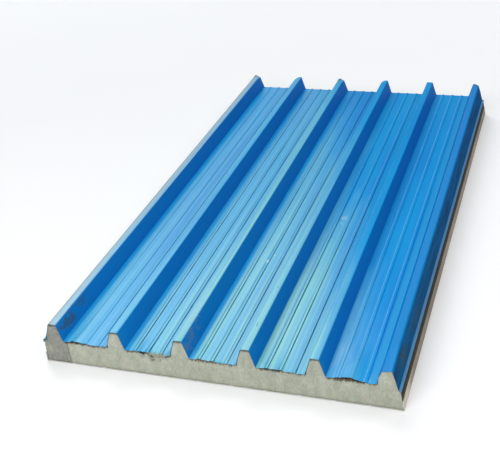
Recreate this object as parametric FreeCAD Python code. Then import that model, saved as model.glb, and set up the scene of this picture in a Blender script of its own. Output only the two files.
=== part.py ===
"""Insulated roof panel: a ribbed steel weather sheet and a flat steel liner sheet bonded to a
mineral-wool core. The core is one wide board with an edge strip butted against it, and it is cut
a little short of the sheets.

Frame: X across the panel, Y along its length, Z up. The origin is on the underside, midway between
the outer ribs and between the ends. Units are millimetres. Every piece is a straight extrusion of
its own cross-section.
"""
import FreeCAD
import Part
import math
import os

V = FreeCAD.Vector

# the whole panel
panel_length = 1950.0
core_depth = 75.0  # from the liner sheet to the underside of the pans
core_setback = 4.0  # how far each end of the core stops short of the sheets

# weather sheet: ribs
top_gauge = 0.6
rib_count = 6
rib_pitch = 190.0
rib_height = 54.0  # from the face of the pan to the face of the crown
crown_width = 23.0
foot_width = 56.0
rib_bend = 3.0  # inside radius of the rib's bends

# weather sheet: stiffening beads pressed up into each pan
bead_count = 3
bead_spacing = 38.0
bead_foot = 12.0
bead_crown = 6.0
bead_height = 1.8
bead_bend = 1.5

# side edges: a plain side on the left and a lapping side on the right
plain_reach = 36.0  # from the middle of the first rib to the plain side of the core
plain_turndown = 12.0  # how far the weather sheet laps down that side
lap_reach = 43.0  # from the middle of the last rib to the foot of the lapping side of the core
lap_drop = 14.0  # how far the last rib's outer flank reaches below the pans
lip_width = 6.5  # from the foot of that flank to the edge of the lip
lip_return = 6.0  # how far the lip is folded down against the core
lip_bend = 1.5

# liner sheet
bottom_gauge = 0.5
flange_height = 30.0
flange_bend = 2.0
groove_pitch = 95.0
groove_count = 10
groove_mouth = 14.0
groove_floor = 8.0
groove_depth = 1.2
groove_bend = 1.0

# core joint
joint_from_rib = 38.0  # from the middle of the first rib to the joint
joint_gap = 0.8

# how much of a straight a bend may use up
bend_share = 0.45

# levels and places that follow from the sizes above
pan_level = bottom_gauge + core_depth + top_gauge
crown_level = pan_level + rib_height
lap_level = pan_level - lap_drop
first_rib = -rib_pitch * (rib_count - 1) / 2
last_rib = -first_rib
plain_side = first_rib - plain_reach
lap_foot = last_rib + lap_reach
lip_inside = last_rib + foot_width / 2 + lip_width - top_gauge
lap_lean = (lap_foot - lip_inside) / (lap_level - lip_return)  # the lapping side leans in by this
joint_place = first_rib + joint_from_rib
core_length = panel_length - 2 * core_setback


def turn_at(corners, i):
    """How far a path turns at a corner, in radians, positive to the left of travel."""
    into = corners[i] - corners[i - 1]
    out = corners[i + 1] - corners[i]
    return math.atan2(into.x * out.z - into.z * out.x, into.x * out.x + into.z * out.z)


def offset_left(corners, distance):
    """The corners of the parallel path, that far to the left of travel."""
    moved = []
    for i, corner in enumerate(corners):
        normals = []
        for a, b in ((i - 1, i), (i, i + 1)):
            if 0 <= a and b < len(corners):
                along = (corners[b] - corners[a]).normalize()
                normals.append(V(-along.z, 0, along.x))
        first, last = normals[0], normals[-1]
        moved.append(corner + (first + last) * (distance / (1 + first.dot(last))))
    return moved


def inside_radii(corners, wanted, gauge):
    """The inside radius of each bend, limited where the straights beside it are short."""
    radii = [0.0] * len(corners)
    for i in range(1, len(corners) - 1):
        reach = bend_share * min((corners[i] - corners[i - 1]).Length,
                                 (corners[i + 1] - corners[i]).Length)
        widest = reach / math.tan(abs(turn_at(corners, i)) / 2)
        radii[i] = max(min(wanted[i], widest - gauge), 0.0)
    return radii


def path_edges(corners, radii):
    """Straights and tangent arcs along a path."""
    edges = []
    start = corners[0]
    for i in range(1, len(corners) - 1):
        corner = corners[i]
        turn = abs(turn_at(corners, i))
        reach = radii[i] * math.tan(turn / 2)
        into = (corner - corners[i - 1]).normalize()
        out = (corners[i + 1] - corner).normalize()
        enter, leave = corner - into * reach, corner + out * reach
        edges.append(Part.LineSegment(start, enter).toShape())
        if radii[i] > 0:
            inward = (out - into).normalize()
            middle = corner + inward * (radii[i] / math.cos(turn / 2) - radii[i])
            edges.append(Part.Arc(enter, middle, leave).toShape())
        start = leave
    edges.append(Part.LineSegment(start, corners[-1]).toShape())
    return edges


def face_between(first_side, second_side):
    """The flat face between two sides that run the same way."""
    ends = []
    for end in (0, -1):
        pair = []
        for side in (first_side, second_side):
            pair.append(side[end].firstVertex(True).Point if end == 0
                        else side[end].lastVertex(True).Point)
        ends.append(Part.LineSegment(*pair).toShape())
    loop = Part.__sortEdges__(first_side + second_side + ends)
    return Part.Face(Part.Wire(loop))


class BentSheet:
    """A strip of sheet bent along a path. The path is the face that looks away from the core."""

    def __init__(self, bends, gauge, core_on_left):
        corners = [V(x, 0, z) for x, z, _ in bends]
        wanted = [radius for _, _, radius in bends]
        radii = inside_radii(corners, wanted, gauge)
        side = gauge if core_on_left else -gauge
        inner = offset_left(corners, side)
        near, far = [], []
        for i, radius in enumerate(radii):
            bends_left = 0 < i < len(radii) - 1 and turn_at(corners, i) > 0
            towards_core = bends_left == core_on_left
            near.append(radius + (gauge if towards_core and radius > 0 else 0.0))
            far.append(radius + (0.0 if towards_core or radius == 0 else gauge))
        self.outer_edges = path_edges(corners, near)
        self.inner_edges = path_edges(inner, far)
        self.section = face_between(self.outer_edges, self.inner_edges)


def rib_bends(centre):
    """The four bends of one rib, from left to right."""
    foot, crown = foot_width / 2, crown_width / 2
    return [
        (centre - foot, pan_level, rib_bend),
        (centre - crown, crown_level, rib_bend),
        (centre + crown, crown_level, rib_bend),
        (centre + foot, pan_level, rib_bend),
    ]


def pan_beads(centre):
    """The bends of the beads in one pan, from left to right."""
    bends = []
    for n in range(bead_count):
        middle = centre + (n - (bead_count - 1) / 2) * bead_spacing
        top = pan_level + bead_height
        bends += [
            (middle - bead_foot / 2, pan_level, bead_bend),
            (middle - bead_crown / 2, top, bead_bend),
            (middle + bead_crown / 2, top, bead_bend),
            (middle + bead_foot / 2, pan_level, bead_bend),
        ]
    return bends


def weather_sheet():
    """Ribs and beaded pans, a plain edge lapped down on the left and a lapping lip on the right."""
    plain_edge = plain_side - top_gauge
    bends = [
        (plain_edge, pan_level - plain_turndown, 0.0),
        (plain_edge, pan_level, rib_bend),
    ]
    for n in range(rib_count):
        bends += rib_bends(first_rib + n * rib_pitch)
        if n < rib_count - 1:
            bends += pan_beads(first_rib + (n + 0.5) * rib_pitch)
    flank_foot = bends.pop()[0]  # the last flank runs on down to the lip
    lip_edge = lip_inside + top_gauge
    bends += [
        (flank_foot, lap_level, rib_bend),
        (lip_edge, lap_level, lip_bend),
        (lip_edge, lap_level - lip_return, 0.0),
    ]
    return BentSheet(bends, top_gauge, core_on_left=False)


def liner_sheet():
    """A grooved floor with a flange folded up against the core on each side."""
    plain_wall = plain_side - bottom_gauge
    lap_wall = lap_foot + bottom_gauge
    bends = [
        (plain_wall, flange_height, 0.0),
        (plain_wall, 0.0, flange_bend),
    ]
    for n in range(groove_count):
        middle = (n - (groove_count - 1) / 2) * groove_pitch
        bends += [
            (middle - groove_mouth / 2, 0.0, groove_bend),
            (middle - groove_floor / 2, groove_depth, groove_bend),
            (middle + groove_floor / 2, groove_depth, groove_bend),
            (middle + groove_mouth / 2, 0.0, groove_bend),
        ]
    bends += [
        (lap_wall, 0.0, flange_bend),
        (lap_wall - flange_height * lap_lean, flange_height, 0.0),
    ]
    return BentSheet(bends, bottom_gauge, core_on_left=True)


def rectangle(left, right, low, high):
    """An upright rectangle in the plane of the cross-sections."""
    corners = [V(left, 0, low), V(right, 0, low), V(right, 0, high), V(left, 0, high)]
    return Part.Face(Part.makePolygon(corners + corners[:1]))


def core_sections(top, bottom):
    """The core fills the space between the sheets. Returns the edge strip and the board."""
    filling = face_between(top.inner_edges, bottom.inner_edges)
    joint_left = joint_place - joint_gap / 2
    joint_right = joint_place + joint_gap / 2
    pieces = []
    for left, right in ((plain_side, joint_left), (joint_right, lap_foot)):
        pieces.append(filling.common(rectangle(left, right, 0.0, crown_level)))
    return pieces


def drawn_out(section, length):
    """A section drawn out along the panel, centred on the origin."""
    face = section.Faces[0].copy()
    face.translate(V(0, -length / 2, 0))
    return face.extrude(V(0, length, 0))


def build():
    """All pieces of the panel by node name."""
    top, bottom = weather_sheet(), liner_sheet()
    edge_strip, board = core_sections(top, bottom)
    return {
        "weather_sheet": drawn_out(top.section, panel_length),
        "liner_sheet": drawn_out(bottom.section, panel_length),
        "core_board": drawn_out(board, core_length),
        "core_edge_strip": drawn_out(edge_strip, core_length),
    }


os.makedirs("parts", exist_ok=True)
for name, shape in build().items():
    solids = shape.Solids
    box = shape.BoundBox
    print(name, len(solids), "solid, valid", shape.isValid(), "volume", round(shape.Volume / 1e3), "cm3",
          "X %.1f to %.1f" % (box.XMin, box.XMax), "Z %.1f to %.1f" % (box.ZMin, box.ZMax))
    solids[0].exportStep("parts/%s.step" % name)
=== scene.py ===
import math
import random

import bmesh
import bpy
from mathutils import Euler, Matrix, Vector, noise


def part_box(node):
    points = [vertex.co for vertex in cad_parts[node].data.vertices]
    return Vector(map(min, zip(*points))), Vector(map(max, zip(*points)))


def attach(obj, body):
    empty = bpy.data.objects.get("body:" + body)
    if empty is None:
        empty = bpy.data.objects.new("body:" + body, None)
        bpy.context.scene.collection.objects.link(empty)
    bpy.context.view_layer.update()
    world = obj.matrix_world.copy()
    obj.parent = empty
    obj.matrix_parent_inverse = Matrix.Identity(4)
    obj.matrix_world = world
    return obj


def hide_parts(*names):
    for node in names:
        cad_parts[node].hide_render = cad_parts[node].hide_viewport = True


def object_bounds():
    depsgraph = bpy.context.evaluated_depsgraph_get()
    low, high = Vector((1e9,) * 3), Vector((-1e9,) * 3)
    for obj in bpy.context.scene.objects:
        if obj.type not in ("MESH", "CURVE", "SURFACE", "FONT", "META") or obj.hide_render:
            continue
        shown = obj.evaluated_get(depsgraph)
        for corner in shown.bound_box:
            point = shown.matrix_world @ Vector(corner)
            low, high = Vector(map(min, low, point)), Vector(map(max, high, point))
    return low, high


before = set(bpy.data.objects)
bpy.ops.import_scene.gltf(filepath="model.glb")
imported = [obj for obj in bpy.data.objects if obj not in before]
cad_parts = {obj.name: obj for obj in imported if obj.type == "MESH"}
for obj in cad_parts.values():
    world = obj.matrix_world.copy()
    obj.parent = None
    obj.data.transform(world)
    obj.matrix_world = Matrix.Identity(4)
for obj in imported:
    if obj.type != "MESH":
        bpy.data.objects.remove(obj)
cadLow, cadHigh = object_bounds()
print("frame loaded", [round(v, 4) for v in cadLow], [round(v, 4) for v in cadHigh])


sameSpot = 1e-6  # metres, as all lengths here
atAnEnd = 1e-5


def smoothStep(t):
    t = min(max(t, 0.0), 1.0)
    return t * t * (3 - 2 * t)


def bell(t):  # 1 in the middle, 0 at -1 and 1
    return 1 - smoothStep(abs(t))


def linear(red, green, blue):  # a screen colour from 0 to 255 as the shader wants it
    channels = [c / 255 for c in (red, green, blue)]
    return [c / 12.92 if c < 0.04045 else ((c + 0.055) / 1.055) ** 2.4 for c in channels] + [1.0]


def cutAcross(bm, places, axis):  # clean cuts through everything, square to an axis
    normal = Vector([1.0 if i == axis else 0.0 for i in range(3)])
    for place in places:
        parts = bm.verts[:] + bm.edges[:] + bm.faces[:]
        bmesh.ops.bisect_plane(bm, geom=parts, dist=sameSpot, plane_co=normal * place, plane_no=normal)


def spread(start, end, step):  # places from start to end, ends left out
    count = max(int(round(abs(end - start) / step)), 1)
    return [start + (end - start) * i / count for i in range(1, count)]


def makePiece(name, bm, materials, nodes=()):
    mesh = bpy.data.meshes.new(name)
    bm.to_mesh(mesh)
    bm.free()
    piece = bpy.data.objects.new(name, mesh)
    bpy.context.scene.collection.objects.link(piece)
    for material in materials:
        mesh.materials.append(material)
    for face in mesh.polygons:
        face.use_smooth = True
    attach(piece, "root")
    if nodes:
        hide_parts(*nodes)
    print("made", name, len(mesh.polygons), "faces")
    return piece


class Nodes:  # a short way to write a material's nodes
    def __init__(self, name):
        self.material = bpy.data.materials.new(name)
        self.material.use_nodes = True
        self.tree = self.material.node_tree
        self.shader = self.tree.nodes["Principled BSDF"]
        self.place = self.add("ShaderNodeTexCoord").outputs["Object"]

    def add(self, kind, values=None, **settings):
        node = self.tree.nodes.new(kind)
        for key, value in settings.items():
            setattr(node, key, value)
        for key, value in (values or {}).items():
            self.feed(node.inputs[key], value)
        return node

    def feed(self, socket, value):
        if isinstance(value, bpy.types.NodeSocket):
            self.tree.links.new(value, socket)
        else:
            socket.default_value = value

    def noise(self, stretch, detail=4.0, roughness=0.55, vector=None):
        scaled = self.add("ShaderNodeMapping", {"Vector": vector or self.place, "Scale": stretch})
        made = self.add("ShaderNodeTexNoise", {"Vector": scaled.outputs[0], "Scale": 1.0,
                                               "Detail": detail, "Roughness": roughness})
        return made.outputs["Fac"]

    def ramp(self, value, low, high, toLow=0.0, toHigh=1.0):
        node = self.add("ShaderNodeMapRange", {"Value": value, "From Min": low, "From Max": high,
                                               "To Min": toLow, "To Max": toHigh})
        return node.outputs[0]

    def math(self, operation, first, second=0.0, third=0.0):
        values = {0: first, 1: second, 2: third}
        return self.add("ShaderNodeMath", values, operation=operation).outputs[0]

    def times(self, *factors):
        product = factors[0]
        for factor in factors[1:]:
            product = self.math("MULTIPLY", product, factor)
        return product

    def band(self, value, rise, fall):  # 1 between two ramps, 0 outside them
        return self.times(self.ramp(value, *rise), self.ramp(value, *fall))

    def mix(self, factor, first, second):
        node = self.add("ShaderNodeMix", data_type="RGBA")
        for key, value in (("Factor_Float", factor), ("A_Color", first), ("B_Color", second)):
            self.feed(next(s for s in node.inputs if s.identifier == key), value)
        return next(s for s in node.outputs if s.identifier == "Result_Color")

    def bump(self, height, strength, distance):
        node = self.add("ShaderNodeBump", {"Height": height, "Strength": strength, "Distance": distance})
        self.feed(self.shader.inputs["Normal"], node.outputs[0])

    def axis(self, letter):
        return self.add("ShaderNodeSeparateXYZ", {0: self.place}).outputs[letter]

    def patch(self, centre, size, ragged, stretch):  # a soft-edged stain, 1 at its middle
        moved = self.add("ShaderNodeVectorMath", {0: self.place, 1: centre}, operation="SUBTRACT")
        scaled = self.add("ShaderNodeVectorMath", {0: moved.outputs[0], 1: size}, operation="DIVIDE")
        reach = self.add("ShaderNodeVectorMath", {0: scaled.outputs[0]}, operation="LENGTH")
        uneven = self.ramp(self.noise(stretch), 0.3, 0.7, -ragged, ragged)
        edge = self.math("ADD", reach.outputs["Value"], uneven)
        return self.ramp(edge, 1.0, 0.35)


sheetShape = {
    "gauge": 0.0006,
    "ribCount": 6,
    "ribPitch": 0.190,
    "ribHeight": 0.054,
    "crownWidth": 0.023,
    "footWidth": 0.056,
    "beadCount": 3,
    "beadSpacing": 0.038,
    "beadFoot": 0.0112,
    "beadCrown": 0.0068,
    "beadHeight": 0.0018,
    "plainDrop": 0.012,
    "lapDrop": 0.014,
    "lipReturn": 0.006,
    "ribBend": 0.0024,  # how far a bend eats into the flats beside it
    "beadBend": 0.0006,
    "lipBend": 0.0012,
    "slices": (  # cuts across the sheet so that it can bend: from, to, step, from the front end
        (0, 0.018, 0.002),
        (0.016, 0.24, 0.008),
        (0.232, 1.95, 0.09),
    ),
    "farSlices": (0.006, 0.014, 0.024, 0.036, 0.06),  # from the far end
    "cutStep": 0.004,  # cuts along the sheet, and how far they reach from the middle of a pan or crown
    "panCuts": 0.066,
    "crownCuts": 0.014,
    "lastRibCuts": (0.452, 0.498),
    "sawWander": 0.0018,
}

panLevel = cadHigh.z - sheetShape["ribHeight"]
frontEnd, farEnd = cadLow.y, cadHigh.y
plainEdge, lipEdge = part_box("weather_sheet")[0].x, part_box("weather_sheet")[1].x
firstRib = -sheetShape["ribPitch"] * (sheetShape["ribCount"] - 1) / 2
lastRib = -firstRib

handling = {
    "buckles": [  # how far a pan has moved at the front, and how far back that reaches
        {"middle": -0.405, "halfWidth": 0.038, "lift": 0.0050, "reach": 0.16},
        {"middle": -0.205, "halfWidth": 0.030, "lift": 0.0030, "reach": 0.10},
        {"middle": -0.160, "halfWidth": 0.038, "lift": -0.0030, "reach": 0.07},
        {"middle": -0.010, "halfWidth": 0.055, "lift": 0.0020, "reach": 0.14},
        {"middle": 0.165, "halfWidth": 0.045, "lift": 0.0030, "reach": 0.12},
        {"middle": 0.372, "halfWidth": 0.056, "lift": 0.0080, "reach": 0.22},
    ],
    "curls": [  # where the very edge is bent down
        {"middle": -0.158, "halfWidth": 0.042, "drop": 0.0095, "depth": 0.012},
        {"middle": 0.020, "halfWidth": 0.035, "drop": 0.0020, "depth": 0.008},
        {"middle": 0.235, "halfWidth": 0.026, "drop": 0.0020, "depth": 0.006},
        {"middle": 0.425, "halfWidth": 0.020, "drop": 0.0020, "depth": 0.008},
    ],
    "knocks": [  # crown corners pushed in: along X, how wide, how far down, how far from which end
        {"middle": 0.468, "halfWidth": 0.036, "drop": 0.0120, "reach": 0.12, "end": "front"},
        {"middle": -0.464, "halfWidth": 0.016, "drop": 0.0070, "reach": 0.035, "end": "far"},
        {"middle": -0.296, "halfWidth": 0.014, "drop": 0.0050, "reach": 0.030, "end": "far"},
        {"middle": -0.085, "halfWidth": 0.014, "drop": 0.0065, "reach": 0.040, "end": "far"},
        {"middle": 0.084, "halfWidth": 0.012, "drop": 0.0040, "reach": 0.025, "end": "far"},
        {"middle": 0.486, "halfWidth": 0.014, "drop": 0.0060, "reach": 0.040, "end": "far"},
    ],
    "squash": {  # the last rib's left flank at the front
        "left": 0.440,
        "right": 0.487,
        "push": 0.0050,
        "reach": 0.12,
        "rise": 0.030,
    },
    "blends": {  # over what distance one movement gives way to the next
        "abovePan": (0.002, 0.012),  # starts this far up, and takes this long
        "sideEdge": (0.012, 0.01),
        "ends": 0.2,
        "upRib": (0.01, 0.04),
        "squash": (0.006, 0.02),  # from its left side, and to its right side
    },
    "ragged": {  # the cut edge's own waves
        "wave": 0.0024,
        "ripple": 0.0012,
        "reach": 0.03,
        "panWave": 0.0008,  # how far the middle of a pan is off flat
    },
}


def sheetCorners(shape):  # the folds of the face that looks away from the core: x, z, bend
    corners = [(plainEdge, panLevel - shape["plainDrop"], 0.0),
               (plainEdge, panLevel, shape["ribBend"])]
    foot, crown = shape["footWidth"] / 2, shape["crownWidth"] / 2
    for n in range(shape["ribCount"]):
        rib = firstRib + n * shape["ribPitch"]
        for dx, z in ((-foot, panLevel), (-crown, cadHigh.z), (crown, cadHigh.z), (foot, panLevel)):
            corners.append((rib + dx, z, shape["ribBend"]))
        if n == shape["ribCount"] - 1:
            break
        for b in range(shape["beadCount"]):
            fromMiddle = (b - (shape["beadCount"] - 1) / 2) * shape["beadSpacing"]
            bead = rib + shape["ribPitch"] / 2 + fromMiddle
            outer, inner, high = shape["beadFoot"] / 2, shape["beadCrown"] / 2, shape["beadHeight"]
            for dx, dz in ((-outer, 0.0), (-inner, high), (inner, high), (outer, 0.0)):
                corners.append((bead + dx, panLevel + dz, shape["beadBend"]))
    lapX = corners.pop()[0]
    lapZ = panLevel - shape["lapDrop"]
    corners.append((lapX, lapZ, shape["ribBend"]))
    corners.append((lipEdge, lapZ, shape["lipBend"]))
    corners.append((lipEdge, lapZ - shape["lipReturn"], 0.0))
    return corners


def grain(x, y, z):  # smooth noise from 0 to 1
    return min(max(0.5 + noise.noise(Vector((x, y, z))), 0.0), 1.0)


def panDent(x, depth):  # how the pans have moved, that far in from the front end
    moved, ragged = 0.0, handling["ragged"]
    for b in handling["buckles"]:
        fade = (1 - smoothStep(depth / b["reach"])) ** 1.5
        moved += b["lift"] * bell((x - b["middle"]) / b["halfWidth"]) * fade
    wave = (grain(x * 45, 3.1, 0.0) - 0.5) * ragged["wave"]
    wave += (grain(x * 160, 7.7, 0.0) - 0.5) * ragged["ripple"]
    moved += wave * (1 - smoothStep(depth / ragged["reach"]))
    for c in handling["curls"]:
        near = 1 - min(depth / c["depth"], 1.0)
        moved -= c["drop"] * bell((x - c["middle"]) / c["halfWidth"]) * near ** 1.6
    return moved


def dent(co):  # how far the sheet, and the wool pressed against it, has moved up or down
    depth, blends = co.y - frontEnd, handling["blends"]
    start, length = blends["abovePan"]
    inPan = 1 - smoothStep((co.z - panLevel - start) / length)
    start, length = blends["sideEdge"]
    inside = smoothStep((lipEdge - start - abs(co.x)) / length)
    fade = smoothStep(depth / blends["ends"]) * smoothStep((farEnd - co.y) / blends["ends"])
    panWave = grain(co.x * 9, co.y * 2.2, 1.3) * handling["ragged"]["panWave"] * fade
    moved = inPan * inside * (panDent(co.x, depth) + panWave)
    start, length = blends["upRib"]
    onRib = smoothStep((co.z - panLevel - start) / length)
    for k in handling["knocks"]:
        away = depth if k["end"] == "front" else farEnd - co.y
        near = 1 - smoothStep(away / k["reach"])
        moved -= k["drop"] * bell((co.x - k["middle"]) / k["halfWidth"]) * near * onRib
    return moved


def bulge(co):  # how far the last rib's left flank has been squashed outwards at the front
    squash, (left, right) = handling["squash"], handling["blends"]["squash"]
    near = 1 - smoothStep((co.y - frontEnd) / squash["reach"])
    side = smoothStep((squash["right"] - co.x) / right) * smoothStep((co.x - squash["left"]) / left)
    return -squash["push"] * near * side * smoothStep((co.z - panLevel) / squash["rise"])


def bendSheet(bm):
    for v in bm.verts:
        atCut = v.co.y - frontEnd < atAnEnd
        v.co.x, v.co.z = v.co.x + bulge(v.co), v.co.z + dent(v.co)
        if atCut:  # the saw's cut is never quite straight
            v.co.y += sheetShape["sawWander"] * grain(v.co.x * 30, v.co.z * 30, 9.0)


def isDusty(face):  # dust clings to what leans sideways, and to the torn edge
    centre, torn = face.calc_center_median(), handling["curls"][0]
    beside = abs(centre.x - torn["middle"]) < torn["halfWidth"]
    return (beside and centre.y - frontEnd < torn["depth"]) or abs(face.normal.x) > 0.3


def buildSheet(shape, coats):  # coats are the washed one, the dusty one and the cut edge
    bm = bmesh.new()
    corners = sheetCorners(shape)
    last = bm.verts.new((corners[0][0], frontEnd, corners[0][1]))
    for (x0, z0, _), (x1, z1, _) in zip(corners, corners[1:]):
        grown = bmesh.ops.extrude_vert_indiv(bm, verts=[last])
        last = grown["verts"][0]
        bmesh.ops.translate(bm, verts=[last], vec=(x1 - x0, 0, z1 - z0))
    drawn = bmesh.ops.extrude_edge_only(bm, edges=bm.edges[:])
    moved = [v for v in drawn["geom"] if isinstance(v, bmesh.types.BMVert)]
    bmesh.ops.translate(bm, verts=moved, vec=(0, farEnd - frontEnd, 0))
    for bend, segments in ((shape["ribBend"], 4), (shape["lipBend"], 3), (shape["beadBend"], 2)):
        places = [(x, z) for x, z, size in corners if size == bend]
        folds = []
        for edge in bm.edges:
            a, b = (v.co for v in edge.verts)
            atFold = any(abs(a.x - x) < sameSpot and abs(a.z - z) < sameSpot for x, z in places)
            if atFold and abs(a.x - b.x) < sameSpot:
                folds.append(edge)
        bmesh.ops.bevel(bm, geom=folds, offset=bend, segments=segments, profile=0.5,
                        affect="EDGES", material=-1)
    depths = [depth for start, end, step in shape["slices"] for depth in spread(start, end, step)]
    cutAcross(bm, [frontEnd + depth for depth in depths], 1)
    cutAcross(bm, [farEnd - depth for depth in shape["farSlices"]], 1)
    panCuts, crownCuts, step = shape["panCuts"], shape["crownCuts"], shape["cutStep"]
    for n in range(shape["ribCount"] - 1):
        pan = firstRib + (n + 0.5) * shape["ribPitch"]
        cutAcross(bm, spread(pan - panCuts, pan + panCuts, step), 0)
        crown = firstRib + n * shape["ribPitch"]
        cutAcross(bm, spread(crown - crownCuts, crown + crownCuts, step), 0)
    cutAcross(bm, spread(*shape["lastRibCuts"], step), 0)
    bmesh.ops.recalc_face_normals(bm, faces=bm.faces[:])
    if sum(f.normal.z * f.calc_area() for f in bm.faces) < 0:
        bmesh.ops.reverse_faces(bm, faces=bm.faces[:])
    for face in bm.faces:
        face.material_index = 1 if isDusty(face) else 0
    bendSheet(bm)
    piece = makePiece("weatherSheet", bm, coats, ["weather_sheet"])
    thick = piece.modifiers.new("gauge", "SOLIDIFY")
    thick.thickness = shape["gauge"]
    thick.offset = -1.0
    thick.use_even_offset = True
    thick.material_offset_rim = 2
    piece.modifiers.new("flatFaces", "WEIGHTED_NORMAL").keep_sharp = True


blueFinish = {
    "tones": {
        "clean": linear(14, 165, 230),
        "deep": linear(8, 146, 222),
        "greenSheen": linear(138, 214, 208),  # painted highlight: the greener tint of the sky's reflection on what faces up
        # pale is the bluer tint of the same painted highlight
        "pale": linear(112, 200, 228),
        "navy": linear(28, 112, 196),
        "shaded": linear(6, 128, 206),
        "green": linear(2, 166, 224),
        "glint": linear(92, 178, 232),
        "shadeAndGrime": linear(4, 72, 92),
        "lastFlankShade": linear(30, 58, 84),
        "dust": linear(136, 152, 162),
        "crownDust": linear(186, 204, 210),
        "speck": linear(198, 218, 224),
        "tan": linear(166, 152, 128),
        "stain": linear(78, 84, 54),
        "scuff": linear(120, 132, 136),
        "smudge": linear(142, 196, 222),
        "scratch": linear(40, 60, 84),
        "bare": linear(150, 146, 122),  # where the torn edge has lost its coating
    },
    "noises": {  # stretch, detail, roughness
        "streaks": ((240.0, 1.6, 240.0), 5.0, 0.6),
        "clouds": ((7.0, 0.9, 7.0), 3.0),
        "sheenEdge": ((11.0, 1.6, 4.0), 4.0),
        "sheenPatches": ((62.0, 0.7, 20.0), 2.0),
        "beadShadeNoise": ((60.0, 5.0, 60.0), 4.0),
        "lastFlankShadeNoise": ((60.0, 7.0, 60.0), 4.0),
        "ripple": ((90.0, 5.0, 90.0), 3.0),
    },
    "zones": {  # pairs in metres: where a mask is 0 and where it is 1
        "pan": (0.0270, 0.0285),  # from a rib's middle
        "crown": (0.0125, 0.0112),
        "sheenAlong": (0.8, -0.85),
        "sheenAcross": (0.24, 0.06),
        "sheenLean": 0.25,  # how much the painted highlight's edge moves across the sheet along it
        "flankReflected": ((0.020, 0.026), (0.045, 0.036)),  # right of a rib, where the pan keeps no painted highlight, as a painted dark reflection of the rib's flank
        "flankReflectedAcross": (0.08, 0.02),
        "besideLeft": ((-0.047, -0.043), (-0.024, -0.028)),  # left of a rib
        "besideLeftAcross": (0.10, 0.22),
        "greenish": ((-0.30, -0.06), (0.31, 0.27)),
        "lastFlankFrom": (0.0010, 0.0025),  # where the painted shade on the last rib's outer flank starts, past the last crown
        "lapFold": 0.0005,  # each side of the fold at the last rib's foot
        "endCrown": (0.016, 0.012),  # from an outer rib's middle, inwards
        "outerEdge": ((0.0055, 0.0080), (0.0150, 0.0130)),  # from the first rib's middle, outwards
        "outerEdgeWander": 0.0015,
        "dullAcross": (0.42, 0.465),
        "rightWall": ((-0.0006, 0.0002), (0.0010, -0.0002)),  # from a bead's crown, and from its foot
        "leftWall": ((-0.0010, -0.0002), (0.0008, 0.0001)),  # from its foot, and from its crown
    },
    "peel": {  # where the coating has come off the torn edge
        "below": 0.008,
        "size": (0.046, 0.016, 0.020),
        "ragged": 0.3,
        "stretch": (150.0, 150.0, 150.0),
    },
    "marksStretch": (90.0, 40.0, 90.0),
    "marks": [  # what, place along the sheet, half size, how ragged, how strong
        ("stain", (-0.455, 0.060, 0.105), (0.013, 0.050, 0.024), 0.9, 0.60),
        ("stain", (-0.455, 0.150, 0.112), (0.012, 0.035, 0.014), 0.9, 0.40),
        ("scuff", (-0.076, 0.050, 0.105), (0.014, 0.050, 0.022), 1.0, 0.32),
        ("scuff", (-0.081, 0.095, 0.118), (0.012, 0.030, 0.012), 1.0, 0.28),
        ("smudge", (-0.095, 0.150, 0.130), (0.014, 0.110, 0.010), 0.4, 0.45),
        ("scratch", (0.095, 0.120, 0.130), (0.002, 0.014, 0.003), 0.3, 0.60),
        ("scratch", (0.098, 0.310, 0.130), (0.002, 0.010, 0.003), 0.3, 0.50),
        ("stain", (0.496, 0.110, 0.090), (0.010, 0.050, 0.022), 0.9, 0.60),
        ("stain", (0.496, 0.300, 0.085), (0.010, 0.090, 0.020), 0.9, 0.35),
        ("stain", (-0.483, 1.938, 0.126), (0.012, 0.024, 0.010), 0.5, 0.80),
        ("stain", (-0.103, 1.938, 0.126), (0.012, 0.024, 0.010), 0.5, 0.85),
        ("stain", (0.480, 1.940, 0.124), (0.016, 0.016, 0.014), 0.5, 0.50),
        ("speck", (0.000, 0.520, 0.077), (0.005, 0.013, 0.006), 0.4, 0.85),
        ("speck", (0.010, 0.560, 0.077), (0.004, 0.010, 0.006), 0.4, 0.50),
        ("speck", (0.172, 0.830, 0.077), (0.010, 0.030, 0.008), 0.8, 0.35),
    ],
    "coats": {  # specular level, and the roughness between streaks and in them
        "washedCoating": (0.24, 0.17, 0.27),
        "dustyCoating": (0.01, 0.42, 0.55),
    },
}


def beadWalls(n, x):  # 1 on the right and on the left sides of the beads
    pitch, spacing = sheetShape["ribPitch"], sheetShape["beadSpacing"]
    wallIn, wallOut = sheetShape["beadCrown"] / 2, sheetShape["beadFoot"] / 2
    fromRib = n.math("WRAP", n.math("SUBTRACT", x, firstRib), pitch, 0.0)
    fromPan = n.math("SUBTRACT", fromRib, pitch / 2)
    fromBead = n.math("WRAP", fromPan, spacing / 2, -spacing / 2)
    inBeads = n.ramp(n.math("ABSOLUTE", fromPan), spacing * 1.5, spacing * 1.4)
    walls = []
    for wall, starts in (("rightWall", (wallIn, wallOut)), ("leftWall", (-wallOut, -wallIn))):
        rise, fall = ([start + d for d in pair] for start, pair in zip(starts, blueFinish["zones"][wall]))
        walls.append(n.times(n.band(fromBead, rise, fall), inBeads))
    return walls


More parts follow.
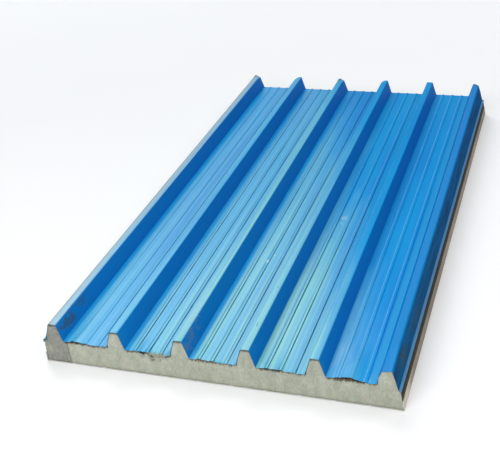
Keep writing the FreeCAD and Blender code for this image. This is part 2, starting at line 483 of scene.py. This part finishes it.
def sheenMask(n, x, y, besideRib, faceUp, streaks):  # the painted highlight of the sky's reflection on what faces up, streaked along the sheet
    zone, noises = blueFinish["zones"], blueFinish["noises"]
    slanted = n.math("ADD", x, n.times(y, zone["sheenLean"]))
    slanted = n.math("ADD", slanted, n.ramp(n.noise(*noises["sheenEdge"]), 0.3, 0.7, -0.08, 0.08))
    # painted reflection: beside a rib's right flank the painted highlight gives way, as if the pan reflected
    # the dark flank
    darkReflection = n.times(n.band(besideRib, *zone["flankReflected"]), n.ramp(x, *zone["flankReflectedAcross"]))
    return n.times(
        n.ramp(y, *zone["sheenAlong"], 0.42, 1.0),
        n.ramp(slanted, *zone["sheenAcross"]),
        faceUp,
        n.ramp(streaks, 0.25, 0.65, 0.45, 1.0),
        n.ramp(n.noise(*noises["sheenPatches"]), 0.36, 0.60, 0.45, 1.0),
        n.ramp(darkReflection, 0.0, 1.0, 1.0, 0.12),
    )


def blueCoating(name):
    n = Nodes(name)
    x, y = n.axis("X"), n.axis("Y")
    look, zone, noises = blueFinish["tones"], blueFinish["zones"], blueFinish["noises"]
    shine, smooth, rough = blueFinish["coats"][name]
    halfPitch = sheetShape["ribPitch"] / 2
    streaks = n.noise(*noises["streaks"])
    fromRib = n.math("PINGPONG", n.math("SUBTRACT", x, firstRib), halfPitch)
    besideRib = n.math("WRAP", n.math("SUBTRACT", x, firstRib), halfPitch, -halfPitch)
    onPan, onCrown = n.ramp(fromRib, *zone["pan"]), n.ramp(fromRib, *zone["crown"])
    faceUp = n.math("MAXIMUM", onPan, onCrown)

    colour = n.mix(n.ramp(n.noise(*noises["clouds"]), 0.35, 0.65), look["clean"], look["deep"])
    besideLeft = n.times(n.band(besideRib, *zone["besideLeft"]),
                         n.ramp(x, *zone["besideLeftAcross"], 0.0, 0.8))
    colour = n.mix(besideLeft, colour, look["green"])
    # painted highlight: pans and crowns towards the front left are lightened as if they reflected the sky
    sheenTone = n.mix(n.band(x, *zone["greenish"]), look["pale"], look["greenSheen"])
    colour = n.mix(sheenMask(n, x, y, besideRib, faceUp, streaks), colour, sheenTone)
    shaded = n.times(n.math("SUBTRACT", 1.0, faceUp), n.ramp(y, -0.9, 0.9, 0.55, 0.85))
    colour = n.mix(shaded, colour, look["navy"])

    # painted shade: dark lines along the beads' walls, stronger towards the middle and the front, the left
    # walls only left of the sheet's right part
    rightWall, leftWall = beadWalls(n, x)
    walls = n.math("ADD", rightWall, n.times(leftWall, n.ramp(x, 0.12, 0.28, 0.7, 0.0)))
    beadShade = n.times(
        walls,
        onPan,
        n.ramp(n.noise(*noises["beadShadeNoise"]), 0.3, 0.6, 0.35, 0.85),
        n.ramp(n.math("ABSOLUTE", x), 0.36, 0.24, 0.28, 1.0),
        n.ramp(y, 0.8, -0.4, 0.5, 1.0),
    )
    colour = n.mix(beadShade, colour, look["shadeAndGrime"])
    colour = n.mix(n.times(leftWall, n.ramp(x, 0.12, 0.30, 0.0, 0.75)), colour, look["glint"])

    crownEdge, lapCorner = lastRib + sheetShape["crownWidth"] / 2, lastRib + sheetShape["footWidth"] / 2
    flankStart = [crownEdge + past for past in zone["lastFlankFrom"]]
    aboveFold, belowFold = lapCorner - zone["lapFold"], lapCorner + zone["lapFold"]
    # painted shade: the last rib's outer flank is darkened as if it reflected dark ground
    lastFlankShade = n.times(n.band(x, flankStart, (belowFold, aboveFold)),
                   n.ramp(n.noise(*noises["lastFlankShadeNoise"]), 0.35, 0.7, 0.55, 0.85))
    colour = n.mix(lastFlankShade, colour, look["lastFlankShade"])
    lip = n.times(n.ramp(x, aboveFold, belowFold), n.ramp(streaks, 0.3, 0.7, 0.35, 0.6))
    colour = n.mix(lip, colour, look["dust"])
    lastCrown = n.times(onCrown, n.ramp(x, *[lastRib - away for away in zone["endCrown"]], 0.0, 0.7))
    colour = n.mix(lastCrown, colour, look["shaded"])

    firstCrown = n.times(onCrown, n.ramp(x, *[firstRib + away for away in zone["endCrown"]]))
    firstCrown = n.times(firstCrown, n.ramp(streaks, 0.3, 0.7, 0.3, 0.65))
    colour = n.mix(firstCrown, colour, look["crownDust"])
    wander = zone["outerEdgeWander"]
    worn = n.math("ADD", x, n.ramp(streaks, 0.3, 0.7, -wander, wander))
    outerEdge = [[firstRib - away for away in pair] for pair in zone["outerEdge"]]
    colour = n.mix(n.times(n.band(worn, *outerEdge), 0.85), colour, look["tan"])

    for what, centre, size, uneven, strength in blueFinish["marks"]:
        place = (centre[0], frontEnd + centre[1], centre[2])
        patch = n.times(n.patch(place, size, uneven, blueFinish["marksStretch"]), strength)
        colour = n.mix(patch, colour, look[what])
    peel = blueFinish["peel"]
    tornPlace = (handling["curls"][0]["middle"], frontEnd, panLevel - peel["below"])
    peeled = n.patch(tornPlace, peel["size"], peel["ragged"], peel["stretch"])
    colour = n.mix(peeled, colour, look["bare"])
    n.feed(n.shader.inputs["Base Color"], colour)

    dull = n.math("ADD", n.times(peeled, 0.3), n.ramp(x, *zone["dullAcross"], 0.0, 0.35))
    polish = n.ramp(streaks, 0.3, 0.7, smooth, rough)
    n.feed(n.shader.inputs["Roughness"], n.math("ADD", polish, dull))
    n.shader.inputs["Specular IOR Level"].default_value = shine
    n.bump(n.noise(*noises["ripple"]), 0.35, 0.0003)
    return n.material


steelFinish = {
    "dark": linear(46, 50, 50),
    "bright": linear(92, 96, 92),
    "metallic": 0.6,
    "roughness": 0.5,
}


def cutSteel():
    n = Nodes("cutSteel")
    speck = n.noise((400.0, 400.0, 400.0))
    n.feed(n.shader.inputs["Base Color"], n.mix(speck, steelFinish["dark"], steelFinish["bright"]))
    n.shader.inputs["Metallic"].default_value = steelFinish["metallic"]
    n.shader.inputs["Roughness"].default_value = steelFinish["roughness"]
    return n.material


buildSheet(sheetShape, [blueCoating("washedCoating"), blueCoating("dustyCoating"), cutSteel()])


coreFinish = {
    "endGrid": 0.004,
    "relief": 0.0022,  # how deep the sawn ends are pitted
    "worn": 0.0042,  # how far the wool has crumbled away under the sheet's edge
    "wornMore": 0.0044,  # and how much that varies
    "wornDepth": 0.020,
    "wornFace": 0.3,  # how much of that the sawn face stands back as well
    "wornBand": 0.016,
    "ribSpared": 0.7,  # how much less of it is gone in the ribs
    "ribBlend": 0.010,  # how far above the pans that holds in full
    "shrink": 0.08,  # how much the wool in a rib draws in from its flanks
    "shrinkBlend": 0.008,
    "swell": 0.003,  # how far the wool in the ribs stands forward of the rest
    "pressedFrom": 0.040,  # the wool above this height follows the dented sheet
    "jointReach": 0.014,
    "jointLean": 0.0030,
    "crack": 0.0030,  # how far the joint has opened at the front
    "crackHeight": 0.045,
    "crackDepth": 0.05,
    "slices": (0.003, 0.006, 0.010, 0.015, 0.022, 0.032, 0.050, 0.085, 0.14, 0.22),  # from the front end
    "farSlice": 0.02,
    "hollows": [  # where more has crumbled away: along the edge, how high, how far in
        {"middle": -0.412, "halfWidth": 0.030, "drop": 0.0030, "reach": 0.030},
        {"middle": -0.207, "halfWidth": 0.014, "drop": 0.0080, "reach": 0.035},
        {"middle": -0.180, "halfWidth": 0.016, "drop": 0.0130, "reach": 0.040},
        {"middle": -0.158, "halfWidth": 0.014, "drop": 0.0120, "reach": 0.040},
        {"middle": -0.138, "halfWidth": 0.012, "drop": 0.0100, "reach": 0.040},
        {"middle": 0.150, "halfWidth": 0.020, "drop": 0.0040, "reach": 0.030},
        {"middle": 0.195, "halfWidth": 0.020, "drop": 0.0040, "reach": 0.030},
        {"middle": 0.228, "halfWidth": 0.012, "drop": 0.0040, "reach": 0.020},
        {"middle": 0.398, "halfWidth": 0.028, "drop": 0.0030, "reach": 0.040},
    ],
}
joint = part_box("core_edge_strip")[1].x
coreFront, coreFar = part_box("core_board")[0].y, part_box("core_board")[1].y
underPan = panLevel - sheetShape["gauge"]


def crumbled(co):  # how much wool is gone under the sheet at this place
    depth = co.y - coreFront
    gone = coreFinish["worn"] + coreFinish["wornMore"] * grain(co.x * 60, co.z * 60, 4.0)
    gone *= 1 - smoothStep(depth / coreFinish["wornDepth"])
    for h in coreFinish["hollows"]:
        edge = 0.6 + 0.8 * grain(co.x * 220, 2.0, 5.0)
        deepest = h["drop"] * bell((co.x - h["middle"]) / h["halfWidth"]) * edge
        gone += deepest * (1 - smoothStep(depth / h["reach"]))
    return gone


def faceDepth(co, gone):  # how far the sawn face at the front stands back
    inRib = smoothStep((co.z - underPan) / coreFinish["ribBlend"])
    worn = coreFinish["wornFace"] * gone * bell((co.z - underPan) / coreFinish["wornBand"])
    return coreFinish["relief"] * pits(co) + worn - coreFinish["swell"] * inRib


def pits(co):  # how uneven the sawn wool is here, from 0 to 1
    return 0.6 * grain(co.x * 38, co.z * 16, 2.0) + 0.4 * grain(co.x * 170, co.z * 80, 6.0)


def wearCore(bm):
    finish = coreFinish
    halfCrown = sheetShape["crownWidth"] / 2
    for v in bm.verts:
        co = v.co
        atFront, atFar = co.y - coreFront < atAnEnd, coreFar - co.y < atAnEnd
        nearTop = smoothStep((co.z - finish["pressedFrom"]) / (underPan - finish["pressedFrom"]))
        inRib = smoothStep((co.z - underPan) / finish["ribBlend"])
        gone = crumbled(co) * (1 - finish["ribSpared"] * inRib)
        pressed, pushed = min(dent(co), 0.0), bulge(co)
        if co.z > underPan:  # in a rib, the wool shrinks from both flanks
            nearest = round((co.x - firstRib) / sheetShape["ribPitch"])
            rib = firstRib + nearest * sheetShape["ribPitch"]
            shrunk = finish["shrink"] * gone / halfCrown
            shrunk *= smoothStep((co.z - underPan) / finish["shrinkBlend"])
            co.x = rib + (co.x - rib) * (1 - shrunk)
        if atFront:
            co.y += faceDepth(co, gone)
        if atFar:
            co.y -= finish["relief"] * pits(co)
        share = max(1 - abs(co.x - joint) / finish["jointReach"], 0.0)
        co.x += share * finish["jointLean"] * (0.5 - co.z / underPan)
        if co.x > joint and co.y - coreFront < finish["crackDepth"]:
            co.x += share * finish["crack"] * (1 - smoothStep(co.z / finish["crackHeight"]))
        co.x += pushed
        co.z += nearTop * (pressed - gone)


woolFinish = {
    "tones": {
        "board": {"pale": linear(192, 196, 182), "mid": linear(170, 175, 160), "dark": linear(124, 128, 110)},
        "strip": {"pale": linear(160, 161, 153), "mid": linear(142, 144, 135), "dark": linear(98, 102, 92)},
        "pink": linear(216, 178, 164),
        "yellow": linear(206, 198, 150),
        "shadowAndSoil": linear(64, 52, 40),
        "recessShadow": linear(38, 34, 30),
        "rust": linear(150, 112, 70),
    },
    "noises": {  # stretch, detail, roughness
        "blotch": ((34.0, 34.0, 16.0), 3.0),
        "fibre": ((420.0, 420.0, 110.0), 6.0, 0.7),
        "flecks": ((120.0, 120.0, 60.0), 3.0, 0.6),
        "shadowEdge": ((160.0, 20.0, 60.0), 4.0),
        "runs": ((220.0, 20.0, 8.0), 3.0),
        "sideShadeAndSoil": ((40.0, 12.0, 60.0), 4.0),
    },
    "zones": {  # pairs in metres: where a mask is 0 and where it is 1
        "underPan": (0.024, 0.032),  # from a rib's middle
        "recessShadow": (0.0130, 0.0075),  # the painted shadow's band, below the sheet
        "gap": (0.034, 0.026),
        "gapDepth": (0.0045, 0.0075),  # behind the sawn face
        "gapFar": (0.003, 0.006),
        "gapSide": (0.006, 0.010),
        "tip": (0.009, 0.005),  # below the top of a crown
        "runs": (0.016, 0.006),
        "foot": (0.010, 0.0),
        "side": (0.0022, 0.0008),
    },
    "shine": 0.1,
    "roughness": 0.95,
    "relief": 0.0016,
}


def woolFace(name, tones):
    n = Nodes(name)
    x, y, z = n.axis("X"), n.axis("Y"), n.axis("Z")
    shared, zone, noises = woolFinish["tones"], woolFinish["zones"], woolFinish["noises"]
    blotch, fibre = n.noise(*noises["blotch"]), n.noise(*noises["fibre"])
    colour = n.mix(n.ramp(blotch, 0.35, 0.65), tones["mid"], tones["pale"])
    colour = n.mix(n.ramp(fibre, 0.35, 0.75, 0.0, 0.7), colour, tones["dark"])
    for tone, seed in (("pink", 11.0), ("yellow", 23.0)):
        values = {0: n.place, 1: (seed, seed, seed)}
        shifted = n.add("ShaderNodeVectorMath", values, operation="ADD").outputs[0]
        flecks = n.noise(*noises["flecks"], shifted)
        colour = n.mix(n.ramp(flecks, 0.60, 0.74, 0.0, 0.45), colour, shared[tone])

    fromRib = n.math("PINGPONG", n.math("SUBTRACT", x, firstRib), sheetShape["ribPitch"] / 2)
    underSheet = n.ramp(fromRib, *zone["underPan"])
    # painted shadow: a dark band on the wool just under the pans' edge
    wavy = n.math("ADD", z, n.ramp(n.noise(*noises["shadowEdge"]), 0.3, 0.7, -0.006, 0.003))
    underSheetShadow = n.times(n.ramp(wavy, *[underPan - below for below in zone["recessShadow"]]), underSheet)
    colour = n.mix(n.times(underSheetShadow, 0.8), colour, shared["shadowAndSoil"])
    # painted shadow: the wool inside the crumbled gap behind the sawn face, under the sheet, is painted
    # nearly black
    inGap = n.times(
        n.band(y, [coreFront + d for d in zone["gapDepth"]], [coreFar - d for d in zone["gapFar"]]),
        n.ramp(z, *[underPan - below for below in zone["gap"]]),
        n.ramp(x, *[plainEdge + inwards for inwards in zone["gapSide"]]),
    )
    colour = n.mix(n.times(inGap, 0.92), colour, shared["recessShadow"])
    # painted shadow on the wool just under each crown
    frayed = n.math("ADD", z, n.ramp(fibre, 0.3, 0.7, -0.002, 0.002))
    tip = n.ramp(frayed, *[cadHigh.z - below for below in zone["tip"]])
    colour = n.mix(n.times(tip, 0.7), colour, shared["shadowAndSoil"])
    running = n.math("ADD", z, n.ramp(n.noise(*noises["runs"]), 0.35, 0.7, -0.016, 0.004))
    rusty = n.times(n.ramp(running, *[underPan - below for below in zone["runs"]]), underSheet)
    colour = n.mix(n.times(rusty, 0.55), colour, shared["rust"])
    colour = n.mix(n.ramp(z, *zone["foot"], 0.0, 0.25), colour, tones["dark"])

    # painted shade with soil on the core's right side, under the lip
    sideways = n.math("ADD", x, n.times(z, lapLean))
    onSide = n.ramp(sideways, *[lapFoot - inwards for inwards in zone["side"]])
    sideShadeAndSoil = n.ramp(n.noise(*noises["sideShadeAndSoil"]), 0.35, 0.65)
    colour = n.mix(n.times(onSide, 0.92), colour, n.mix(sideShadeAndSoil, shared["recessShadow"], shared["shadowAndSoil"]))
    n.feed(n.shader.inputs["Base Color"], colour)
    n.shader.inputs["Roughness"].default_value = woolFinish["roughness"]
    n.shader.inputs["Specular IOR Level"].default_value = woolFinish["shine"]
    n.bump(n.math("ADD", fibre, n.times(blotch, 0.6)), 0.8, woolFinish["relief"])
    return n.material


def buildCore(name, node, wool):
    low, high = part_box(node)
    bm = bmesh.new()
    bm.from_mesh(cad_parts[node].data)
    bmesh.ops.remove_doubles(bm, verts=bm.verts[:], dist=sameSpot)
    bmesh.ops.dissolve_limit(bm, angle_limit=math.radians(0.5), verts=bm.verts[:], edges=bm.edges[:])
    cutAcross(bm, spread(low.x, high.x, coreFinish["endGrid"]), 0)
    cutAcross(bm, spread(low.z, high.z, coreFinish["endGrid"]), 2)
    slices = [low.y + depth for depth in coreFinish["slices"]]
    cutAcross(bm, slices + [high.y - coreFinish["farSlice"]], 1)
    wearCore(bm)
    makePiece(name, bm, [wool], [node])


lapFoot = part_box("core_board")[1].x
lapFall = panLevel - sheetShape["lapDrop"] - sheetShape["lipReturn"]
lapLean = (lapFoot - lipEdge + sheetShape["gauge"]) / lapFall  # of the core's right side
buildCore("coreBoard", "core_board", woolFace("boardWool", woolFinish["tones"]["board"]))
buildCore("coreEdgeStrip", "core_edge_strip", woolFace("stripWool", woolFinish["tones"]["strip"]))


crumbs = {
    "seed": 5,
    "places": [  # middle, half width, how many, how far below the wool's top edge
        (0.350, 0.006, 16, 0.0005),
        (0.385, 0.010, 8, 0.0010),
        (-0.176, 0.012, 10, 0.0010),
        (-0.140, 0.010, 6, 0.0010),
        (0.215, 0.030, 8, 0.0010),
        (-0.030, 0.050, 10, 0.0010),
    ],
    "radius": (0.0006, 0.0017),
    "spread": 0.004,
    "sunk": 0.3,  # how much of a tuft's radius is behind the wool's face
    "long": (0.8, 1.6),
    "high": (0.7, 1.2),
    "deep": 1.2,
    "rough": 0.35,
    "tones": {"pale": linear(232, 230, 220), "mid": linear(214, 212, 200), "dark": linear(172, 170, 156)},
}


def buildCrumbs(wool):  # loose tufts caught along the torn edge of the wool
    draw = random.Random(crumbs["seed"])
    noise.seed_set(crumbs["seed"])
    bm = bmesh.new()
    for middle, halfWidth, count, below in crumbs["places"]:
        for _ in range(count):
            x = middle + draw.uniform(-halfWidth, halfWidth)
            edge = Vector((x, coreFront, underPan))
            gone = crumbled(edge)
            drop = below + draw.uniform(0.0, crumbs["spread"])
            radius = draw.uniform(*crumbs["radius"])
            edge.z -= drop
            back = faceDepth(edge, gone) - crumbs["sunk"] * radius
            level = edge.z + min(panDent(x, 0.0), 0.0) - gone
            place = Matrix.Translation((x, coreFront + back, level))
            long, high = draw.uniform(*crumbs["long"]), draw.uniform(*crumbs["high"])
            stretch = Matrix.Diagonal((long, crumbs["deep"], high, 1.0))
            made = bmesh.ops.create_icosphere(bm, subdivisions=2, radius=radius, matrix=place @ stretch)
            for v in made["verts"]:
                v.co += crumbs["rough"] * radius * noise.noise_vector(v.co * 900)
    makePiece("woolCrumbs", bm, [wool])


buildCrumbs(woolFace("crumbWool", crumbs["tones"]))


creamFinish = {
    "tones": {
        "cream": linear(216, 208, 182),
        "dull": linear(196, 186, 160),
        "shadeAndGrime": linear(122, 104, 82),
        "rust": linear(128, 74, 46),
        "swarf": linear(232, 232, 244),  # bare bright metal at the sawn end
        "scratch": linear(150, 146, 134),
    },
    "noises": {  # stretch, detail, roughness
        "clouds": ((9.0, 3.0, 9.0), 5.0),
        "splashes": ((34.0, 9.0, 60.0), 5.0, 0.65),
        "rust": ((60.0, 18.0, 90.0), 4.0),
        "scratches": ((30.0, 900.0, 30.0), 2.0),
        "ripple": ((60.0, 4.0, 60.0), 3.0),
    },
    "zones": {  # pairs in metres: where a mask is 0 and where it is 1
        "side": (0.007, 0.004),  # inwards from the core's right side
        "dirtyFrom": (0.06, 0.16),  # from the front end
        "cutEnd": (0.005, 0.003),
    },
}


def creamCoating():
    n = Nodes("creamCoating")
    x, y = n.axis("X"), n.axis("Y")
    look, zone, noises = creamFinish["tones"], creamFinish["zones"], creamFinish["noises"]
    clouds = n.noise(*noises["clouds"])
    colour = n.mix(n.ramp(clouds, 0.4, 0.7), look["cream"], look["dull"])
    onSide = n.ramp(x, *[lapFoot - inwards for inwards in zone["side"]])
    further = n.ramp(y, *[frontEnd + depth for depth in zone["dirtyFrom"]])
    # painted shade with grime on the liner's right edge, away from the front end
    sideShadeAndGrime = n.times(onSide, further, n.ramp(n.noise(*noises["splashes"]), 0.2, 0.6, 0.55, 1.0))
    colour = n.mix(sideShadeAndGrime, colour, look["shadeAndGrime"])
    rusty = n.times(onSide, n.ramp(n.noise(*noises["rust"]), 0.56, 0.66, 0.0, 0.8))
    colour = n.mix(rusty, colour, look["rust"])
    cutEnd = n.ramp(y, *[frontEnd + depth for depth in zone["cutEnd"]])
    colour = n.mix(n.times(cutEnd, 0.7), colour, look["swarf"])
    scratched = n.ramp(n.noise(*noises["scratches"]), 0.70, 0.76, 0.0, 0.35)
    colour = n.mix(scratched, colour, look["scratch"])
    n.feed(n.shader.inputs["Base Color"], colour)
    n.feed(n.shader.inputs["Roughness"], n.ramp(clouds, 0.3, 0.7, 0.38, 0.52))
    n.bump(n.noise(*noises["ripple"]), 0.3, 0.0003)
    return n.material


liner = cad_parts["liner_sheet"]
liner.data.materials.clear()
liner.data.materials.append(creamCoating())
print("finished liner_sheet")


studio = {
    "floorSize": 60.0,
    "floorGap": 0.0005,  # below the liner
    "floorTones": (linear(248, 248, 248), linear(244, 244, 245)),
    "floorGlow": 0.17,  # only what the camera and the reflections see
    "farGlow": 0.80,
    "glowReach": (1.6, 14.0),  # where the one starts to become the other, and where it has
    "worldColour": linear(238, 242, 247),
    "nearHorizon": 0.85,
    "overhead": 0.12,
    "horizonTop": 0.12,  # heights of the sky, as the sine of the angle above the floor
    "skyBottom": 0.34,
    "haze": (0.93, 0.98, 1.0),  # the two tints of the lamps
    "white": (1.0, 1.0, 1.0),
    "lamps": [  # name, tint, degrees round from +Y, degrees up, distance, width and height, watts
        ("skyWindow", "haze", 33.0, 48.0, 14.0, (7.5, 8.0), 780.0),
        ("haze", "haze", 35.0, 23.0, 14.0, (10.0, 4.0), 90.0),
        ("rightSky", "white", 265.0, 60.0, 6.0, (5.0, 5.0), 125.0),
        ("frontFill", "white", 170.0, 30.0, 6.0, (3.5, 2.5), 190.0),
    ],
}


def buildFloor():
    bm = bmesh.new()
    bmesh.ops.create_grid(bm, x_segments=1, y_segments=1, size=studio["floorSize"] / 2)
    mesh = bpy.data.meshes.new("floor")
    bm.to_mesh(mesh)
    bm.free()
    floor = bpy.data.objects.new("floor", mesh)
    floor.location.z = cadLow.z - studio["floorGap"]
    n = Nodes("floorPaint")
    n.feed(n.shader.inputs["Base Color"], n.mix(n.noise((3.0, 3.0, 3.0)), *studio["floorTones"]))
    n.shader.inputs["Roughness"].default_value = 0.9
    n.shader.inputs["Specular IOR Level"].default_value = 0.0
    ray = n.add("ShaderNodeLightPath").outputs
    seen = n.math("ADD", ray["Is Camera Ray"], ray["Is Glossy Ray"])
    seen = n.math("MINIMUM", n.math("ADD", seen, ray["Is Transmission Ray"]), 1.0)
    n.shader.inputs["Emission Color"].default_value = studio["floorTones"][0]
    away = n.add("ShaderNodeVectorMath", {0: n.place}, operation="LENGTH").outputs["Value"]
    glow = n.ramp(away, *studio["glowReach"], studio["floorGlow"], studio["farGlow"])
    n.feed(n.shader.inputs["Emission Strength"], n.times(seen, glow))
    mesh.materials.append(n.material)
    bpy.context.scene.collection.objects.link(floor)


def buildWorld():
    world = bpy.data.worlds.new("studio")
    world.use_nodes = True
    tree = world.node_tree
    background = tree.nodes["Background"]
    background.inputs["Color"].default_value = studio["worldColour"]
    towards = tree.nodes.new("ShaderNodeTexCoord").outputs["Generated"]
    split = tree.nodes.new("ShaderNodeSeparateXYZ")
    tree.links.new(towards, split.inputs[0])
    fall = tree.nodes.new("ShaderNodeMapRange")
    tree.links.new(split.outputs["Z"], fall.inputs["Value"])
    fall.inputs["From Min"].default_value = studio["horizonTop"]
    fall.inputs["From Max"].default_value = studio["skyBottom"]
    fall.inputs["To Min"].default_value = studio["nearHorizon"]
    fall.inputs["To Max"].default_value = studio["overhead"]
    tree.links.new(fall.outputs[0], background.inputs["Strength"])
    bpy.context.scene.world = world


def buildLamp(name, tint, turned, raised, far, size, watts):
    light = bpy.data.lights.new(name, "AREA")
    light.shape = "RECTANGLE"
    light.size, light.size_y = size
    light.energy = watts
    light.color = studio[tint]
    holder = bpy.data.objects.new(name, light)
    turn, up = math.radians(turned), math.radians(raised)
    away = Vector((-math.sin(turn) * math.cos(up), math.cos(turn) * math.cos(up), math.sin(up)))
    holder.location = away * far
    holder.rotation_euler = away.to_track_quat("Z", "Y").to_euler()
    bpy.context.scene.collection.objects.link(holder)


view = {
    "place": (0.8491, -2.9018, 1.6528),
    "round": 20.196,
    "down": 29.629,
    "roll": -5.009,
    "lens": 69.98,
    "sensor": 36.0,
    "farthest": 100.0,
}


def buildCamera():
    camera = bpy.data.objects.new("camera", bpy.data.cameras.new("camera"))
    camera.data.lens = view["lens"]
    camera.data.sensor_width = view["sensor"]
    camera.data.clip_end = view["farthest"]
    aim = Euler((math.radians(90 - view["down"]), 0, math.radians(view["round"]))).to_matrix()
    aim = aim @ Matrix.Rotation(math.radians(view["roll"]), 3, "Z")
    camera.matrix_world = Matrix.Translation(view["place"]) @ aim.to_4x4()
    bpy.context.scene.collection.objects.link(camera)
    bpy.context.scene.camera = camera


buildFloor()
buildWorld()
for lamp in studio["lamps"]:
    buildLamp(*lamp)
buildCamera()
bpy.context.scene.view_settings.view_transform = "Standard"
print("studio ready")
